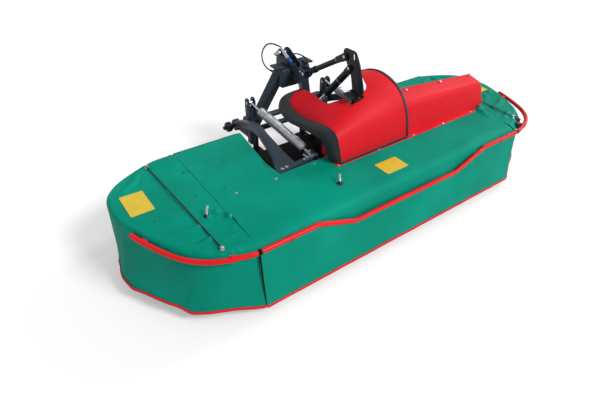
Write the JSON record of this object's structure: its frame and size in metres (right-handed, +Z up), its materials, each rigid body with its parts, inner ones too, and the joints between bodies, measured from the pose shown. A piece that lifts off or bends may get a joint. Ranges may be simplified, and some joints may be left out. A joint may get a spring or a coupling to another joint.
{
  "type": "front-mounted disc mower",
  "caption": "Front-mounted disc mower with a cutter bar of oval discs under a green fabric guard, red drive covers, sprung lift arms and a three-point headstock.",
  "frame": {"origin": "on the ground under the centre of the machine, measured without its free hose", "axes": "+Z up; the machine travels towards -Y, so the headstock and tractor are on the +Y side and its right-hand end is at -X"},
  "size_m": [3.542, 1.843, 1.172],
  "materials": {
    "canvas_green": "woven coated canvas",
    "red_paint": "gloss",
    "tube_red": "gloss",
    "frame_grey": "satin",
    "mast_black": "satin",
    "trim_black": "matte",
    "plate_yellow": "satin",
    "bare_steel": "satin",
    "zinc": "bright",
    "hose_rubber": "satin"
  },
  "bodies": {
    "mower": {"cutter_bar": "frame_grey", "skid_shoes": "bare_steel", "front_beam": "frame_grey", "rear_beam": "frame_grey", "side_frame_right": "frame_grey", "side_frame_left": "frame_grey", "deck_plate": "frame_grey", "gearbox": "frame_grey", "pto_guard": "trim_black", "drive_shaft": "frame_grey", "end_gearbox": "frame_grey", "mast": "mast_black", "hood": "red_paint", "hood_end": "trim_black", "drive_cover": "red_paint", "deck_fabric_right": "canvas_green", "deck_fabric_left": "canvas_green"},
    "disc_1": {"disc_1": "bare_steel"},
    "disc_2": {"disc_2": "bare_steel"},
    "disc_3": {"disc_3": "bare_steel"},
    "disc_4": {"disc_4": "bare_steel"},
    "disc_5": {"disc_5": "bare_steel"},
    "disc_6": {"disc_6": "bare_steel"},
    "disc_7": {"disc_7": "bare_steel"},
    "disc_8": {"disc_8": "bare_steel"},
    "end_guard_right": {"end_frame_right": "frame_grey", "end_tube_right": "tube_red", "end_fabric_right": "canvas_green", "end_curtain_right": "canvas_green", "marker_plate_right": "plate_yellow", "end_latch_right": "trim_black"},
    "end_guard_left": {"end_frame_left": "frame_grey", "end_tube_left": "tube_red", "end_fabric_left": "canvas_green", "end_curtain_left": "canvas_green", "marker_plate_left": "plate_yellow"},
    "front_guard": {"front_frame": "frame_grey", "front_tube": "tube_red", "front_fabric": "canvas_green", "marker_plate_middle": "plate_yellow", "front_latch": "trim_black"},
    "front_curtain": {"front_curtain": "canvas_green"},
    "lift_arms": {"lift_arm_right": "frame_grey", "lift_arm_left": "frame_grey", "arm_cross_tube": "frame_grey"},
    "headstock": {"headstock": "frame_grey", "hitch_balls": "zinc", "hose_fittings": "hose_rubber", "hose": "hose_rubber"},
    "upper_link": {"upper_link": "mast_black"},
    "cylinder_barrel": {"cylinder_barrel": "mast_black"},
    "cylinder_rod": {"cylinder_rod": "zinc"},
    "spring_right": {"spring_right": "zinc"},
    "spring_left": {"spring_left": "zinc"},
    "spring_rod_right": {"spring_rod_right": "zinc"},
    "spring_rod_left": {"spring_rod_left": "zinc"},
    "parking_stand_right": {"parking_stand_right": "zinc"},
    "parking_stand_left": {"parking_stand_left": "zinc"}
  },
  "joints": [
    {"name": "disc_1_spin", "type": "hinge", "parent": "mower", "child": "disc_1", "pos_m": [-1.295, -0.4225, 0.112], "axis": [0, 0, 1], "continuous": true},
    {"name": "disc_2_spin", "type": "hinge", "parent": "mower", "child": "disc_2", "pos_m": [-0.925, -0.4225, 0.112], "axis": [0, 0, 1], "continuous": true},
    {"name": "disc_3_spin", "type": "hinge", "parent": "mower", "child": "disc_3", "pos_m": [-0.555, -0.4225, 0.112], "axis": [0, 0, 1], "continuous": true},
    {"name": "disc_4_spin", "type": "hinge", "parent": "mower", "child": "disc_4", "pos_m": [-0.185, -0.4225, 0.112], "axis": [0, 0, 1], "continuous": true},
    {"name": "disc_5_spin", "type": "hinge", "parent": "mower", "child": "disc_5", "pos_m": [0.185, -0.4225, 0.112], "axis": [0, 0, 1], "continuous": true},
    {"name": "disc_6_spin", "type": "hinge", "parent": "mower", "child": "disc_6", "pos_m": [0.555, -0.4225, 0.112], "axis": [0, 0, 1], "continuous": true},
    {"name": "disc_7_spin", "type": "hinge", "parent": "mower", "child": "disc_7", "pos_m": [0.925, -0.4225, 0.112], "axis": [0, 0, 1], "continuous": true},
    {"name": "disc_8_spin", "type": "hinge", "parent": "mower", "child": "disc_8", "pos_m": [1.295, -0.4225, 0.112], "axis": [0, 0, 1], "continuous": true},
    {"name": "arms_lift", "type": "hinge", "parent": "mower", "child": "lift_arms", "pos_m": [0, -0.2825, 0.47], "axis": [1, 0, 0], "range_deg": [0, 10]},
    {"name": "headstock_tilt", "type": "hinge", "parent": "lift_arms", "child": "headstock", "pos_m": [0, 0.8425, 0.295], "axis": [1, 0, 0], "range_deg": [-17.12, 0]},
    {"name": "upper_link_swing", "type": "hinge", "parent": "mower", "child": "upper_link", "pos_m": [0, -0.1205, 1.128], "axis": [1, 0, 0], "range_deg": [0, 28]},
    {"name": "cylinder_swing", "type": "hinge", "parent": "mower", "child": "cylinder_barrel", "pos_m": [0, -0.1755, 1.062], "axis": [1, 0, 0], "range_deg": [0, 4.76]},
    {"name": "cylinder_stroke", "type": "slide", "parent": "cylinder_barrel", "child": "cylinder_rod", "axis": [0, 0.6711, -0.7414], "range_m": [-0.0856, 0]},
    {"name": "spring_right_swing", "type": "hinge", "parent": "mower", "child": "spring_right", "pos_m": [-0.398, -0.2175, 0.524], "axis": [1, 0, 0], "range_deg": [0, 13.99]},
    {"name": "spring_right_stretch", "type": "slide", "parent": "spring_right", "child": "spring_rod_right", "axis": [0, 0.996, 0.0896], "range_m": [0, 0.0973]},
    {"name": "spring_left_swing", "type": "hinge", "parent": "mower", "child": "spring_left", "pos_m": [0.398, -0.2175, 0.524], "axis": [1, 0, 0], "range_deg": [0, 13.99]},
    {"name": "spring_left_stretch", "type": "slide", "parent": "spring_left", "child": "spring_rod_left", "axis": [0, 0.996, 0.0896], "range_m": [0, 0.0973]},
    {"name": "end_guard_right_fold", "type": "hinge", "parent": "mower", "child": "end_guard_right", "pos_m": [-1.222, 0, 0.498], "axis": [0, 1, 0], "range_deg": [0, 80]},
    {"name": "end_guard_left_fold", "type": "hinge", "parent": "mower", "child": "end_guard_left", "pos_m": [1.35, 0, 0.498], "axis": [0, -1, 0], "range_deg": [0, 80]},
    {"name": "front_guard_lift", "type": "hinge", "parent": "mower", "child": "front_guard", "pos_m": [0, -0.5125, 0.498], "axis": [-1, 0, 0], "range_deg": [0, 75]},
    {"name": "front_curtain_hang", "type": "hinge", "parent": "front_guard", "child": "front_curtain", "pos_m": [0, -0.8725, 0.487], "axis": [-1, 0, 0], "range_deg": [-75.05, 0]},
    {"name": "parking_stand_right_slide", "type": "slide", "parent": "headstock", "child": "parking_stand_right", "axis": [0, 0, 1], "range_m": [0, 0.2]},
    {"name": "parking_stand_left_slide", "type": "slide", "parent": "headstock", "child": "parking_stand_left", "axis": [0, 0, 1], "range_m": [0, 0.2]}
  ],
  "couplings": [
    {"joint": "disc_2_spin", "follows": "disc_1_spin", "ratio": -1},
    {"joint": "disc_3_spin", "follows": "disc_1_spin", "ratio": 1},
    {"joint": "disc_4_spin", "follows": "disc_1_spin", "ratio": -1},
    {"joint": "disc_5_spin", "follows": "disc_1_spin", "ratio": 1},
    {"joint": "disc_6_spin", "follows": "disc_1_spin", "ratio": -1},
    {"joint": "disc_7_spin", "follows": "disc_1_spin", "ratio": 1},
    {"joint": "disc_8_spin", "follows": "disc_1_spin", "ratio": -1},
    {"joint": "headstock_tilt", "follows": "arms_lift", "ratio": -1.7068},
    {"joint": "upper_link_swing", "follows": "arms_lift", "ratio": 2.7948},
    {"joint": "cylinder_swing", "follows": "arms_lift", "ratio": 0.4707},
    {"joint": "cylinder_stroke", "follows": "arms_lift", "m_per_rad": -0.48872},
    {"joint": "spring_right_swing", "follows": "arms_lift", "ratio": 1.3944},
    {"joint": "spring_right_stretch", "follows": "arms_lift", "m_per_rad": 0.55556},
    {"joint": "spring_left_swing", "follows": "arms_lift", "ratio": 1.3944},
    {"joint": "spring_left_stretch", "follows": "arms_lift", "m_per_rad": 0.55556},
    {"joint": "front_curtain_hang", "follows": "front_guard_lift", "ratio": -1}
  ]
}
